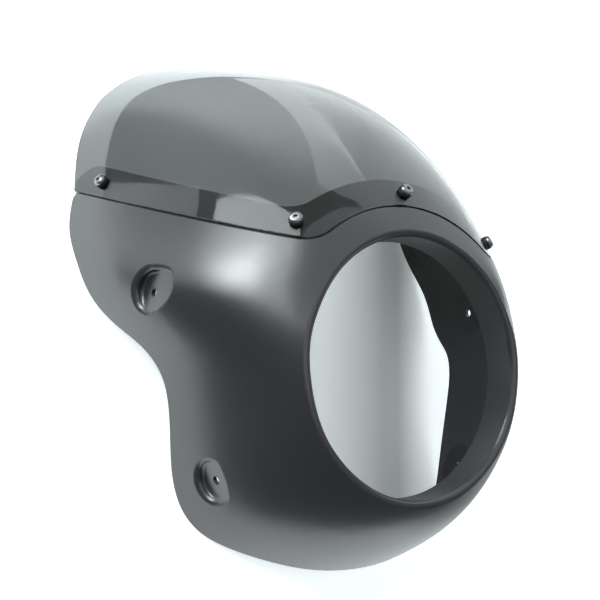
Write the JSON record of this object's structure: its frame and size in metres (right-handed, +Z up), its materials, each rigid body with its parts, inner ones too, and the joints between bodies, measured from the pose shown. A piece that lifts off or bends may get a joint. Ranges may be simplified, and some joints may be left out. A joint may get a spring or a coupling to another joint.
{
  "type": "headlight cowl",
  "caption": "Motorbike headlight cowl: a moulded half-fairing round a round lamp opening, with a smoked windscreen screwed to its top flange.",
  "frame": {"origin": "centre of the round lamp opening, where its bore meets the front lip", "axes": "+Y along the lamp axis towards the rear, so the lamp looks along -Y; +Z up; +X to the rider's left"},
  "size_m": [0.3388, 0.247, 0.4045],
  "materials": {
    "black_plastic": "satin black moulded plastic with a fine grain",
    "smoked_acrylic": "glossy smoked see-through acrylic",
    "black_rubber": "black rubber washers",
    "steel": "plain grey steel"
  },
  "bodies": {
    "root": {"cowl_shell": "black_plastic", "windscreen": "smoked_acrylic", "screen_screws": "steel", "screen_washers": "black_rubber", "screen_nuts": "steel", "nut_washers": "steel"}
  },
  "joints": []
}
